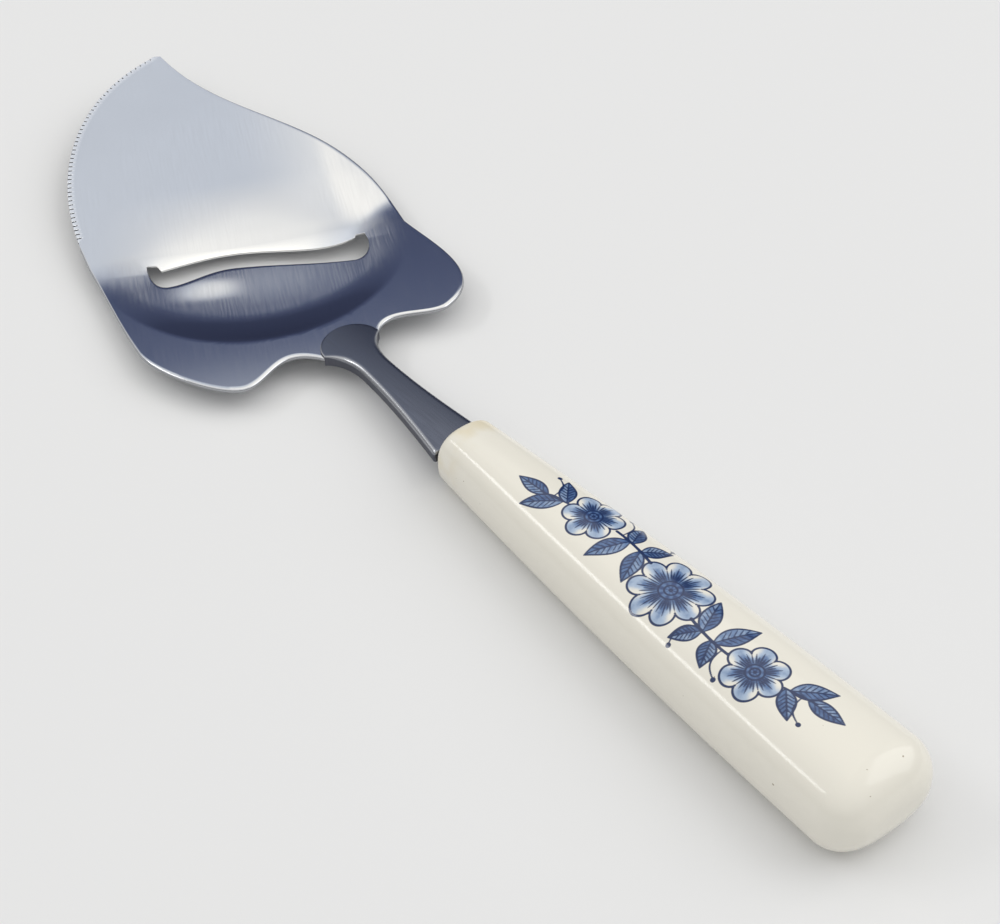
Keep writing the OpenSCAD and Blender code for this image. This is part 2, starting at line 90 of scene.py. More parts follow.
def in_handle(points):
    """Blade points turned down by the blade's slope and put into the middle of the mouth."""
    x, y, z = points[..., 0], points[..., 1], points[..., 2]
    slope_cos, slope_sin = math.cos(BLADE_SLOPE), math.sin(BLADE_SLOPE)
    return np.stack([
        HANDLE_LEN / 2 + x * slope_cos + z * slope_sin,
        y,
        MOUTH_Z - x * slope_sin + z * slope_cos,
    ], axis=-1)


# Curves and meshes

CORNER = math.radians(50)
SAME_PLACE_DECIMALS = 5
WIDE_FACE_WEIGHT = 90
UV_UNIT = 100


def cubic(ends_and_pulls, t):
    """Cubic curve through its first and last point, drawn by the two pulls between them."""
    a, b, c, d = (np.asarray(p, float) for p in ends_and_pulls)
    t = np.asarray(t, float)[..., None]
    return (1 - t) ** 3 * a + 3 * (1 - t) ** 2 * t * b + 3 * (1 - t) * t ** 2 * c + t ** 3 * d


def run(ends_and_pulls, count):
    """Points spaced evenly in the parameter of a cubic curve, without its last point."""
    return cubic(ends_and_pulls, np.arange(count) / count)


def straight(a, b, count):
    """Points spaced evenly from a to b, without b."""
    t = (np.arange(count) / count)[:, None]
    return np.asarray(a, float) * (1 - t) + np.asarray(b, float) * t


def ease(t):
    """Smooth climb from 0 to 1: three squares of t less two cubes, held outside that range."""
    t = np.clip(t, 0, 1)
    return t * t * (3 - 2 * t)


def grid_faces(rows, columns, start=0, closed=False):
    """Four-sided faces of a grid of points that are numbered row by row."""
    spans = columns if closed else columns - 1
    row, column = np.meshgrid(np.arange(rows - 1), np.arange(spans), indexing="ij")
    after = (column + 1) % columns
    here, above = start + row * columns, start + (row + 1) * columns
    return np.stack([here + column, here + after, above + after, above + column], -1).reshape(-1, 4)


def harden(mesh, crisp):
    """Makes the edges between crisp points sharp, besides the edges that are sharp already."""
    ends = np.zeros(2 * len(mesh.edges), np.int32)
    mesh.edges.foreach_get("vertices", ends)
    hard = np.zeros(len(mesh.edges), bool)
    mesh.edges.foreach_get("use_edge_sharp", hard)
    hard |= crisp[ends].reshape(-1, 2).all(axis=1)
    mesh.edges.foreach_set("use_edge_sharp", hard)


def new_piece(name, points, faces, node, values, layout, crisp=None):
    """Mesh piece from millimetre points and four-sided faces, which takes the place of a CAD node.

    Points that coincide become one, so that seams and poles close, and a face that loses a corner
    becomes a triangle. values holds a number per point for each named attribute, and layout holds
    two lengths per point for the UV map. Shading breaks at corners, and at edges between crisp points.
    """
    rounded = np.round(points, SAME_PLACE_DECIMALS)
    places, first, index = np.unique(rounded, axis=0, return_index=True, return_inverse=True)
    faces = index.reshape(-1)[np.asarray(faces)]
    corner_kept = faces != np.roll(faces, -1, axis=1)
    sides = corner_kept.sum(axis=1)
    quads = faces[sides == 4]
    triangles = faces[sides == 3][corner_kept[sides == 3]].reshape(-1, 3)
    corners = np.concatenate([quads.reshape(-1), triangles.reshape(-1)]).astype(np.int32)
    totals = np.concatenate([np.full(len(quads), 4), np.full(len(triangles), 3)])
    starts = np.concatenate([[0], np.cumsum(totals)[:-1]]).astype(np.int32)
    mesh = bpy.data.meshes.new(name)
    mesh.vertices.add(len(places))
    mesh.vertices.foreach_set("co", (points[first] * METRES).astype(np.float32).reshape(-1))
    mesh.loops.add(len(corners))
    mesh.loops.foreach_set("vertex_index", corners)
    mesh.polygons.add(len(totals))
    mesh.polygons.foreach_set("loop_start", starts)
    mesh.update(calc_edges=True)
    mesh.polygons.foreach_set("use_smooth", np.ones(len(totals), bool))
    mesh.set_sharp_from_angle(angle=CORNER)
    if crisp is not None:
        harden(mesh, crisp[first])
    for title, numbers in values.items():
        attribute = mesh.attributes.new(title, "FLOAT", "POINT")
        attribute.data.foreach_set("value", numbers[first].astype(np.float32))
    uv = mesh.uv_layers.new(name="layout")
    uv.data.foreach_set("uv", (layout / UV_UNIT)[first][corners].astype(np.float32).reshape(-1))
    mesh.validate()
    piece = bpy.data.objects.new(name, mesh)
    normals = piece.modifiers.new("wide_faces_first", "WEIGHTED_NORMAL")
    normals.weight = WIDE_FACE_WEIGHT
    normals.keep_sharp = True
    bpy.context.scene.collection.objects.link(piece)
    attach(piece, "root")
    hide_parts(node)
    return piece


# Head: plan

TOOTH_STEPS = np.array([0, TIP_SHARE / 2, TIP_SHARE, TIP_SHARE + 0.03, 0.97])
NOTCH_STEPS = np.array([0, 0, 0, 1, 1])
# Painted shade on the walls along the teeth: full everywhere but the middle of each tooth, so the slits look
# dark
SLIT_SHADE_STEPS = np.array([1, 0, 1, 1, 1])
COLUMNS = TOOTH_COUNT * len(TOOTH_STEPS)
REAR_RUNS = (68, 37, 21, 37, 42, 35)
RIGHT_BRIDGE, LEFT_BRIDGE = 26, 31
SLOT_RUNS = (21, 73, 68, 21)
LIP_RUNS = (72, 79)
NOTCH_SIDES = (5, 6, 5)
DISH_ROWS, LIP_ROWS, LEAF_ROWS = 44, 9, 44


def from_slot(points):
    """Slot coordinates turned into head coordinates: u runs along the slot to the left, v to the front."""
    u, v = np.asarray(points, float)[..., 0], np.asarray(points, float)[..., 1]
    return np.stack([
        DISH_REACH + u * math.sin(SLOT_SLANT) + v * math.cos(SLOT_SLANT),
        -DISH_SIDE + u * math.cos(SLOT_SLANT) - v * math.sin(SLOT_SLANT),
    ], axis=-1)


def to_slot(points):
    """Head coordinates turned into slot coordinates."""
    dx, dy = points[..., 0] - DISH_REACH, points[..., 1] + DISH_SIDE
    return (dx * math.sin(SLOT_SLANT) + dy * math.cos(SLOT_SLANT),
            dx * math.cos(SLOT_SLANT) - dy * math.sin(SLOT_SLANT))


FOLD_RIGHT_UV = np.array([-DISH_R, 0])
FOLD_LEFT_UV = np.array([DISH_R + 1.3, 0])
FOLD_RIGHT, FOLD_LEFT = from_slot(FOLD_RIGHT_UV), from_slot(FOLD_LEFT_UV)
TIP = np.array([HEAD_LEN, -TIP_SIDE])
TIP_CORNER = TIP + [-0.8, -1.3]
TEETH_END = np.array([TEETH_REACH, TEETH_SIDE])
LEAF_WIDE = np.array([LEAF_REACH, -DISH_R - DISH_SIDE - LEAF_PAST])
EAR_LEFT = DISH_R - DISH_SIDE + EAR_PAST


def rear_edge():
    """Edge of the ears from fold to fold round the rear: five cubic curves and the joint with the shank."""
    right_rear = np.array([-1.9, 11 - EAR_RIGHT])
    left_rear = np.array([2, EAR_LEFT - 10.9])
    left_wide = np.array([25.6, EAR_LEFT])
    neck_right = np.array([0, -LAP_W / 2 - LEAN])
    neck_left = np.array([0, LAP_W / 2 - LEAN])
    return np.concatenate([
        run([FOLD_RIGHT, FOLD_RIGHT + [-10.4, 0.4], [1.1, -EAR_RIGHT - 2.9], right_rear], REAR_RUNS[0]),
        run([right_rear, right_rear + [-0.4, 4.8], neck_right + [5.8, -5.2], neck_right], REAR_RUNS[1]),
        straight(neck_right, neck_left, REAR_RUNS[2]),
        run([neck_left, neck_left + [9, 5], left_rear + [-0.1, -5.4], left_rear], REAR_RUNS[3]),
        run([left_rear, left_rear + [0.1, 5.4], left_wide + [-6.5, 1.4], left_wide], REAR_RUNS[4]),
        run([left_wide, left_wide + [10, -1.4], FOLD_LEFT + [-10.2, 1.8], FOLD_LEFT], REAR_RUNS[5]),
        [FOLD_LEFT],
    ])


def front_edge(t):
    """Front edge from the tip to the end of the teeth, one cubic curve."""
    return cubic([TIP, TIP + [-3.1, 24.9], TEETH_END + [22.5, -6.6], TEETH_END], t)


def inward(t):
    """Unit direction square to the front edge, towards the steel."""
    d = front_edge(np.minimum(1, t + 0.005)) - front_edge(np.maximum(0, t - 0.005))
    return np.stack([-d[..., 1], d[..., 0]], -1) / np.linalg.norm(d, axis=-1, keepdims=True)


TOOTH_ROOT = NOTCH_DEPTH + 0.6


def root_edge(t):
    """Line of the tooth roots inside the front edge, from the tip's corner to the end of the teeth."""
    line = front_edge(t) + inward(t) * (TOOTH_ROOT * np.minimum(1, (1 - t) * TOOTH_COUNT))[:, None]
    corner = np.maximum(0, 1 - t * 2 * TOOTH_COUNT)[:, None]
    return line * (1 - corner) + TIP_CORNER * corner


WIDE_SHARE = 0.4


def right_edge(t):
    """Right edge of the leaf from the fold to the tip, two cubic curves that meet at its widest place."""
    rear = cubic([FOLD_RIGHT, FOLD_RIGHT + [7, -1.9], LEAF_WIDE + [-7.2, 0.2], LEAF_WIDE],
                 np.clip(t / WIDE_SHARE, 0, 1))
    front = cubic([LEAF_WIDE, LEAF_WIDE + [25.4, -0.6], TIP_CORNER + [-27, 1.2], TIP_CORNER],
                  np.clip((t - WIDE_SHARE) / (1 - WIDE_SHARE), 0, 1))
    return np.where((t < WIDE_SHARE)[..., None], rear, front)


def left_edge(t):
    """Left edge of the leaf from the fold to the end of the teeth, one cubic curve."""
    return cubic([FOLD_LEFT, FOLD_LEFT + [3, -0.8], TEETH_END + [-2.9, 1.1], TEETH_END], t)


SLOT_ASIDE = 0.85
SLOT_RIGHT, SLOT_LEFT = -SLOT_LEN / 2 - SLOT_ASIDE, SLOT_LEN / 2 - SLOT_ASIDE
SLOT_END_RIGHT, SLOT_END_LEFT = np.array([SLOT_RIGHT, -4]), np.array([SLOT_LEFT, -3])
NOTCH_FRONT = -1.9
LIP_RIGHT = np.array([SLOT_RIGHT + 2.5, -2.7])
LIP_LEFT = np.array([SLOT_LEFT - 2.8, -3.5])
LIP_MID = np.array([-5.7, -1.8])


def slot_edges():
    """Rear edge of the slot and its lip, each from the slot's right end to its left end.

    The rear edge is four cubic curves, and the lip two with a square notch at each end.
    """
    crown = np.array([4.6, SLOT_BOW - SLOT_BACK])
    back_right = np.array([SLOT_RIGHT + 4.4, -SLOT_BACK - 1])
    back_left = np.array([SLOT_LEFT - 3.4, -SLOT_BACK])
    right_notch = [
        SLOT_END_RIGHT, [SLOT_RIGHT + 0.3, NOTCH_FRONT], [LIP_RIGHT[0] - 0.3, NOTCH_FRONT], LIP_RIGHT,
    ]
    left_notch = [
        LIP_LEFT, [LIP_LEFT[0] + 0.8, NOTCH_FRONT + 0.2], [SLOT_LEFT, NOTCH_FRONT + 0.4], SLOT_END_LEFT,
    ]
    right_pull, left_pull = [SLOT_RIGHT, 0.6 - SLOT_BACK], [SLOT_LEFT - 0.2, 4 - SLOT_BACK]
    rear = np.concatenate([
        run([SLOT_END_RIGHT, right_pull, back_right - [2.4, 0.5], back_right], SLOT_RUNS[0]),
        run([back_right, back_right + [8.6, 1.3], crown - [7.5, 0], crown], SLOT_RUNS[1]),
        run([crown, crown + [5.5, 0], back_left - [4.5, 0.1], back_left], SLOT_RUNS[2]),
        run([back_left, back_left + [2.5, 0.3], left_pull, SLOT_END_LEFT], SLOT_RUNS[3]),
        [SLOT_END_LEFT],
    ])
    lip = np.concatenate([
        around_notch(right_notch),
        run([LIP_RIGHT, LIP_RIGHT + [5, -2.4], LIP_MID + [-5.1, -1.1], LIP_MID], LIP_RUNS[0]),
        run([LIP_MID, LIP_MID + [10.5, 2.4], LIP_LEFT + [-9.8, 2.9], LIP_LEFT], LIP_RUNS[1]),
        around_notch(left_notch),
        [SLOT_END_LEFT],
    ])
    return from_slot(rear), from_slot(lip)


def around_notch(corners):
    """Points along the three sides of a notch of the lip, without the last corner."""
    return np.concatenate([straight(corners[k], corners[k + 1], NOTCH_SIDES[k]) for k in range(3)])


def guide_row(right_end, left_end):
    """Straight row in front of the lip, which spreads the columns beside the notches."""
    spread, front = 3.2, NOTCH_FRONT + 3.2

    def in_front(a, b):
        along = (a - spread, a - spread / 3, b + spread / 3, b + spread)
        return from_slot([[u, front] for u in along])

    right_notch = in_front(SLOT_RIGHT, LIP_RIGHT[0])
    left_notch = in_front(LIP_LEFT[0], SLOT_LEFT)
    return np.concatenate([
        straight(right_end, right_notch[0], RIGHT_BRIDGE),
        around_notch(right_notch),
        straight(right_notch[3], left_notch[0], sum(LIP_RUNS)),
        around_notch(left_notch),
        straight(left_notch[3], left_end, LEFT_BRIDGE),
        [left_end],
    ])


# Head: heights

END_SHARE, END_PAST, CLIMB_BACK, CLIMB_RUN = 0.57, 1.0, 4.0, 26.0
FOLD_ROUND, LIFT_END, LIFT_RUN, LIP_RUN = 4.0, 0.4, 20.0, 10.0
ARCH_MIDDLE, ARCH_LEN, ARCH_BACK, ARCH_RUN = 13.0, 24.0, 16.0, 8.0
FOLD_LAG, LAG_START = 5.4, 18.5
FOLD_LEAD, LEAD_START, LEAD_ROUND = 5.0, 6.0, 2.5
SLOT_MIDDLE = (SLOT_LEFT + SLOT_RIGHT) / 2
TIP_REACH = to_slot(TIP)[1]


def depth(u, v):
    """Share of the step's drop: 1 in the dish, 0 past the step, less at the dish's ends and up the leaf."""
    rho = np.hypot(u, np.minimum(v, 0))
    inner = DISH_R - STEP_W + END_SHARE * STEP_W * (u / np.maximum(rho, 0.001)) ** 2
    ears = np.clip((rho - inner) / (DISH_R - inner), 0, 1) ** 2
    climb = np.maximum(0, 1 - np.maximum(0, v + CLIMB_BACK) / CLIMB_RUN) ** 2
    return (1 - ears) * (1 - ease(np.abs(u) / (DISH_R + END_PAST))) * climb


def pressed(u, v, dent):
    """Height over the ears' plane: the leaf's rise past a rounded fold, its curl, the step's drop, a dent.

    The fold bends forward beside the slot's right end. Towards the left it bends back and gets rounder.
    """
    lag = FOLD_LAG * ease((-u - LAG_START) / (DISH_R - LAG_START))
    leading = ease((u - LEAD_START) / (DISH_R - LEAD_START))
    f = v - lag + FOLD_LEAD * leading
    fold_round = FOLD_ROUND + LEAD_ROUND * leading
    rise = np.where(f > fold_round, f, np.maximum(0, f + fold_round) ** 2 / (4 * fold_round))
    curl = LEAF_CURL * (rise / TIP_REACH) ** 2
    return math.tan(LEAF_RISE) * rise + curl + depth(u, v) * (dent - STEP_DROP)


def hump(u, middle, length):
    """Share of an arch: the square of a parabola that ends half a length from its middle."""
    return np.maximum(0, 1 - (2 * (u - middle) / length) ** 2) ** 2


def dish_height(points):
    """Pressed sheet behind the slot, whose floor rises and arches up to the slot's rear edge."""
    u, v = to_slot(points)
    plateau = ease((1 - np.abs(2 * (u - SLOT_MIDDLE) / SLOT_LEN)) / LIFT_END)
    lift = SLOT_LIFT * plateau * ease((v + LIFT_RUN) / LIFT_RUN)
    arch = SLOT_ARCH * hump(u, ARCH_MIDDLE, ARCH_LEN) * ease((v + ARCH_BACK) / ARCH_RUN)
    return pressed(u, v, lift + arch)


def leaf_height(points):
    """Pressed sheet in front of the slot, whose lip dips."""
    u, v = to_slot(points)
    dip = LIP_DIP * hump(u, SLOT_MIDDLE, SLOT_LEN) * (1 - ease((v + CLIMB_BACK) / LIP_RUN))
    return pressed(u, v, -dip)


# Head: surface

RIM_R, FINE_RIM_R = 0.36, 0.06
RIM_STEPS, RIM_FADE = 4, 14
ROW_POWER = 1.3
LAST_NOTCH = 0.1
# Share of painted shade on the sheared walls of full rims
SHEARED_SHADE_SHARE = 0.5
BRUSH_R, BRUSH_FADE, BRUSH_NARROW = 28.0, 8.0, 0.8
ASIDE_BACK, ASIDE_RUN, ASIDE_MORE = 3.0, 5.0, 0.9
LEAF_BRUSH = 5.0


def tooth_rhythm():
    """Places along the front edge from 0 to 1, and the share of the deepest notch at each of them."""
    s = np.append((np.arange(TOOTH_COUNT)[:, None] + TOOTH_STEPS).reshape(-1) / TOOTH_COUNT, 1)
    notch = np.append(np.tile(NOTCH_STEPS, TOOTH_COUNT), 0.0)
    notch *= FIRST_NOTCH + (1 - FIRST_NOTCH) * s
    notch[-3:] *= LAST_NOTCH
    return s, notch


def square_out(loop):
    """Unit directions in plan, square to a closed loop and away from the steel on its left."""
    d = np.roll(loop, -1, axis=0) - np.roll(loop, 1, axis=0)
    d /= np.maximum(np.linalg.norm(d, axis=1, keepdims=True), 1e-9)
    return np.stack([d[:, 1], -d[:, 0]], axis=1)


def rim_rows(inner, out, radius, thick):
    """Rim of the sheet: a quarter round down from its top and one up from its bottom, along a loop."""
    a = np.linspace(0, math.pi / 2, RIM_STEPS + 1)[:, None]
    drop = np.minimum(radius, 0.45 * thick)
    plan = inner[:, :2] + (radius * np.sin(a))[..., None] * out
    upper = np.concatenate([plan, (inner[:, 2] - drop * (1 - np.cos(a)))[..., None]], -1)
    lower = np.concatenate([plan, (inner[:, 2] - thick + drop * (1 - np.cos(a)))[..., None]], -1)
    return np.concatenate([upper, lower[::-1]])


def inset(loop, from_fine):
    """Loop moved into the steel by its rim's radius, that radius, and the directions out of the steel.

    The rim is fine up to where from_fine is 0, and gets its full radius over a few points from there.
    """
    radius = np.interp(from_fine, [0, RIM_FADE], [FINE_RIM_R, RIM_R])
    out = square_out(loop)
    return loop - out * radius[:, None], radius, out


def outline_loop(s, notch, w):
    """Edges of the outline, inset by its rim, with the rim's radius and directions.

    The loop has the steel on its left: it runs along the teeth, the left edge, the rear edge and the
    right edge.
    """
    parts = [
        front_edge(s) + inward(s) * (notch * NOTCH_DEPTH)[:, None],
        left_edge(w)[-2:0:-1],
        rear_edge()[::-1],
        right_edge(w)[1:],
    ]
    ends = np.cumsum([len(part) for part in parts])
    place = np.arange(ends[-1])
    loop, radius, out = inset(np.concatenate(parts), np.minimum(place - COLUMNS, ends[-1] - 1 - place))
    teeth = loop[:ends[0]]
    rear = loop[ends[1]:ends[2]][::-1]
    left = np.concatenate([rear[-1:], loop[ends[0]:ends[1]][::-1], teeth[-1:]])
    right = np.concatenate([rear[:1], loop[ends[2]:]])
    return (teeth, left, rear, right), radius, out


def slot_loop():
    """Lip and rear edge of the slot, inset by its rim, with the rim's radius and directions.

    The loop has the steel on its left: it runs along the lip to the right, then back along the rear edge.
    """
    rear, lip = slot_edges()
    count = len(lip) - 1
    place = np.arange(2 * count)
    slot = np.concatenate([lip[:0:-1], rear[:-1]])
    loop, radius, out = inset(slot, np.minimum(place - count, 2 * count - place))
    lip = np.concatenate([loop[count:count + 1], loop[:count][::-1]])
    rear = np.concatenate([loop[count:], loop[:1]])
    return (lip, rear), radius, out


def fold_to_fold(edge, right_end, left_end):
    """Row from the right fold along an edge of the slot to the left fold."""
    return np.concatenate([
        straight(right_end, edge[0], RIGHT_BRIDGE),
        edge[:-1],
        straight(edge[-1], left_end, LEFT_BRIDGE),
        [left_end],
    ])


def dish_skin(rear, slot_rear):
    """Top of the ears and the dish, ruled from the rear edge to the slot."""
    t = np.linspace(0, 1, DISH_ROWS + 1)[:, None, None]
    plan = rear * (1 - t) + fold_to_fold(slot_rear, rear[0], rear[-1]) * t
    return np.concatenate([plan, dish_height(plan)[..., None]], -1)


def leaf_skin(s, w, edges, lip_edge):
    """Top of the lip, the leaf and the teeth.

    The lip is ruled from the slot to the row in front of it. The leaf is stretched between its four
    edges: each point is the sum of what opposite edges give, less what the corners give. The teeth
    are a strip from the line of the tooth roots to the front edge.
    """
    teeth, left, rear, right = edges
    guide = guide_row(rear[0], rear[-1])
    t = np.linspace(0, 1, LIP_ROWS, endpoint=False)[:, None, None]
    lip = fold_to_fold(lip_edge, rear[0], rear[-1]) * (1 - t) + guide * t
    root = root_edge(s)
    root[0], root[-1] = right[-1], left[-1]
    along, across = s[:, None], w[:, None, None]
    leaf = ((1 - across) * guide + across * root
            + (1 - along) * right[:, None] + along * left[:, None]
            - (1 - along) * (1 - across) * guide[0] - along * (1 - across) * guide[-1]
            - (1 - along) * across * root[0] - along * across * root[-1])
    plan = np.concatenate([lip, leaf, teeth[None]])
    return np.concatenate([plan, leaf_height(plan)[..., None]], -1)


def brushing(u, v, dish_count, top_count):
    """Share of brushing at each point: round the slot on the dish, and only beside the slot on the leaf.

    The dish's points come first, then the leaf's. The points past the top skin have none.
    """
    aside = ease((np.abs(u) - SLOT_LEN / 2 + ASIDE_BACK) / ASIDE_RUN)
    brushed = ease((BRUSH_R - np.hypot(BRUSH_NARROW * u, v)) / BRUSH_FADE)
    brushed[:dish_count] *= 1 + ASIDE_MORE * aside[:dish_count]
    brushed[dish_count:] *= ((1 + ASIDE_MORE) * aside * ease(1 - v / LEAF_BRUSH))[dish_count:]
    brushed[top_count:] = 0
    return brushed


def slicing_head():
    """Head as two skins of one sheet, joined round its outline and round its slot by rounded rims.

    The skins stop short of the outline by the rim's radius, and the rim is a profile that is
    carried along each loop.
    """
    s, notch = tooth_rhythm()
    w = np.linspace(0, 1, LEAF_ROWS + 1) ** ROW_POWER
    edges, outline_r, outline_out = outline_loop(s, notch, w)
    (lip_edge, slot_rear), slot_r, slot_out = slot_loop()
    dish = dish_skin(edges[2], slot_rear)
    leaf = leaf_skin(s, w, edges, lip_edge)
    # Beside the slot the dish meets the leaf
    bridges = np.r_[0:RIGHT_BRIDGE + 1, COLUMNS - LEFT_BRIDGE:COLUMNS + 1]
    dish[-1, bridges] = leaf[0, bridges]

    # The lip and the tooth tips are ground thin, and paler there, partly as a painted highlight
    in_slot = slice(RIGHT_BRIDGE + 1, COLUMNS - LEFT_BRIDGE)
    from_lip = np.arange(LIP_ROWS)[:, None] / LIP_ROWS
    leaf_thick = np.full(leaf.shape[:2], SHEET_T)
    leaf_thick[:LIP_ROWS, in_slot] = EDGE_T + (SHEET_T - EDGE_T) * from_lip
    leaf_thick[-1] = EDGE_T + (SHEET_T - EDGE_T) * notch * NOTCH_DEPTH / TOOTH_ROOT
    column = np.arange(COLUMNS + 1)[in_slot]
    from_ends = np.minimum(column - RIGHT_BRIDGE, COLUMNS - LEFT_BRIDGE - column) / sum(NOTCH_SIDES)
    leaf_ground = np.zeros(leaf.shape[:2])
    leaf_ground[:LIP_ROWS, in_slot] = (1 - from_lip) * np.minimum(1, from_ends)
    leaf_ground[-1] = 1

    # Numbers of the points in the skins and along the two loops
    width = COLUMNS + 1
    dish_id = np.arange(dish.shape[0] * width).reshape(-1, width)
    leaf_id = np.arange(leaf.shape[0] * width).reshape(-1, width) + dish_id.size
    outline_id = np.concatenate([
        leaf_id[-1], leaf_id[-3:LIP_ROWS:-1, -1], dish_id[0, ::-1], leaf_id[LIP_ROWS + 1:-1, 0],
    ])
    slot_id = np.concatenate([
        leaf_id[0, COLUMNS - LEFT_BRIDGE:RIGHT_BRIDGE:-1],
        dish_id[-1, RIGHT_BRIDGE:COLUMNS - LEFT_BRIDGE],
    ])

    # Skins
    top = np.concatenate([dish.reshape(-1, 3), leaf.reshape(-1, 3)])
    thick = np.concatenate([np.full(dish_id.size, SHEET_T), leaf_thick.reshape(-1)])
    ground = np.concatenate([np.zeros(dish_id.size), leaf_ground.reshape(-1)])
    bottom = top - thick[:, None] * [0, 0, 1]
    upper = np.concatenate([grid_faces(*dish_id.shape), grid_faces(*leaf_id.shape, dish_id.size)])
    points, faces = [top, bottom], [upper[:, ::-1], upper + len(top)]
    ground_parts, sheared_shade_parts = [ground, ground], [np.zeros(2 * len(top))]

    # Rims, whose sheared walls are darkened by painted shade, except at the ground edges
    start = 2 * len(top)
    outline_wall = SHEARED_SHADE_SHARE * (outline_r > RIM_R / 2)
    outline_wall[:width] = np.append(np.tile(SLIT_SHADE_STEPS, TOOTH_COUNT), 1)
    slot_wall = SHEARED_SHADE_SHARE * (slot_r > RIM_R / 2)
    for ids, out, radius, sheared_shade in (
        (outline_id, outline_out, outline_r, outline_wall),
        (slot_id, slot_out, slot_r, slot_wall),
    ):
        rows = rim_rows(top[ids], out, radius, thick[ids])
        wall = np.clip(np.arange(len(rows)) * 2 / RIM_STEPS - 0.5, 0, 1)
        points.append(rows.reshape(-1, 3))
        faces.append(grid_faces(*rows.shape[:2], start, closed=True)[:, ::-1])
        ground_parts.append(np.tile(ground[ids], len(rows)))
        sheared_shade_parts.append(np.outer(wall, sheared_shade).reshape(-1))
        start += rows.shape[0] * rows.shape[1]

    points = np.concatenate(points)
    u, v = to_slot(points)
    values = {
        "ground": np.concatenate(ground_parts),
        "sheared_shade": np.concatenate(sheared_shade_parts),
        "brushed": brushing(u, v, dish_id.size, len(top)),
    }
    crisp = np.zeros(len(points), bool)
    for edge in (leaf_id[-1], leaf_id[0, in_slot]):
        crisp[edge] = True
        crisp[edge + len(top)] = True
    placed = in_handle(points + [SHANK_LEN, 0, SHEET_TOP])
    return new_piece("slicing_head_visual", placed, np.concatenate(faces), "slicing_head",
                     values, np.stack([u, v], -1), crisp)


# Shank

EDGE_R, LAP_EDGE_R, UNDER_R, SHOULDER_R = 0.9, 0.3, 0.15, 0.4
TANG_NOTCH_HALF = 1.5
TOP_STEPS, ROUND_STEPS = 18, 6
BAR_STEPS, LAP_STEPS, BLEND_STEPS = (40, 24), 28, 12
# Fade of the painted shade down the shank's sides, and share of the painted highlight on its rounded edges
WALL_FADE, WORN_HIGHLIGHT_SHARE = 2.5, 0.4


def shank_stations():
    """Distance from the mouth, half width, underside and edge radius at places along the bar."""
    notches = [-TANG_LEN * (k + 0.6) / (TANG_NOTCHES + 0.4) for k in range(TANG_NOTCHES - 1, -1, -1)]
    half = TANG_W / 2
    tang = [[-TANG_LEN, half - TANG_NOTCH], [TANG_NOTCH - TANG_LEN, half]]
    for place in notches:
        tang.append([place - TANG_NOTCH_HALF, half])
        tang.append([place, half - TANG_NOTCH])
        tang.append([place + TANG_NOTCH_HALF, half])
    tang.append([SHOULDER_GAP, half])
    shoulder = [
        [SHOULDER_GAP, SHOULDER_W / 2 - SHOULDER_R],
        [SHOULDER_GAP + 0.3 * SHOULDER_R, SHOULDER_W / 2 - 0.3 * SHOULDER_R],
    ]
    bar = np.concatenate([
        run([[SHOULDER_GAP + SHOULDER_R, SHOULDER_W / 2], [NECK_REACH / 3, SHOULDER_W / 2 - 1.1],
             [NECK_REACH * 2 / 3, NECK_W / 2 + 0.1], [NECK_REACH, NECK_W / 2]], BAR_STEPS[0]),
        run([[NECK_REACH, NECK_W / 2], [NECK_REACH + 4.2, NECK_W / 2],
             [SHANK_LEN - 1.6, LAP_W / 2 - 2], [SHANK_LEN, LAP_W / 2]], BAR_STEPS[1]),
        [[SHANK_LEN, LAP_W / 2]],
    ])
    a = np.linspace(0, math.pi / 2, LAP_STEPS)
    lap = np.stack([SHANK_LEN + LAP_LEN * np.sin(a), LAP_W / 2 * np.cos(a)], -1)
    plan = np.concatenate([tang, shoulder, bar, lap])
    under = np.where(np.arange(len(plan)) < len(plan) - len(lap), -SHANK_T / 2, SHEET_TOP)
    edge = np.full(len(plan), EDGE_R)
    edge[:len(tang)] = UNDER_R
    edge[-len(lap):] = LAP_EDGE_R
    edge[-len(lap) - BLEND_STEPS:-len(lap)] = np.linspace(EDGE_R, LAP_EDGE_R, BLEND_STEPS)
    return plan[:, 0], plan[:, 1], under, edge


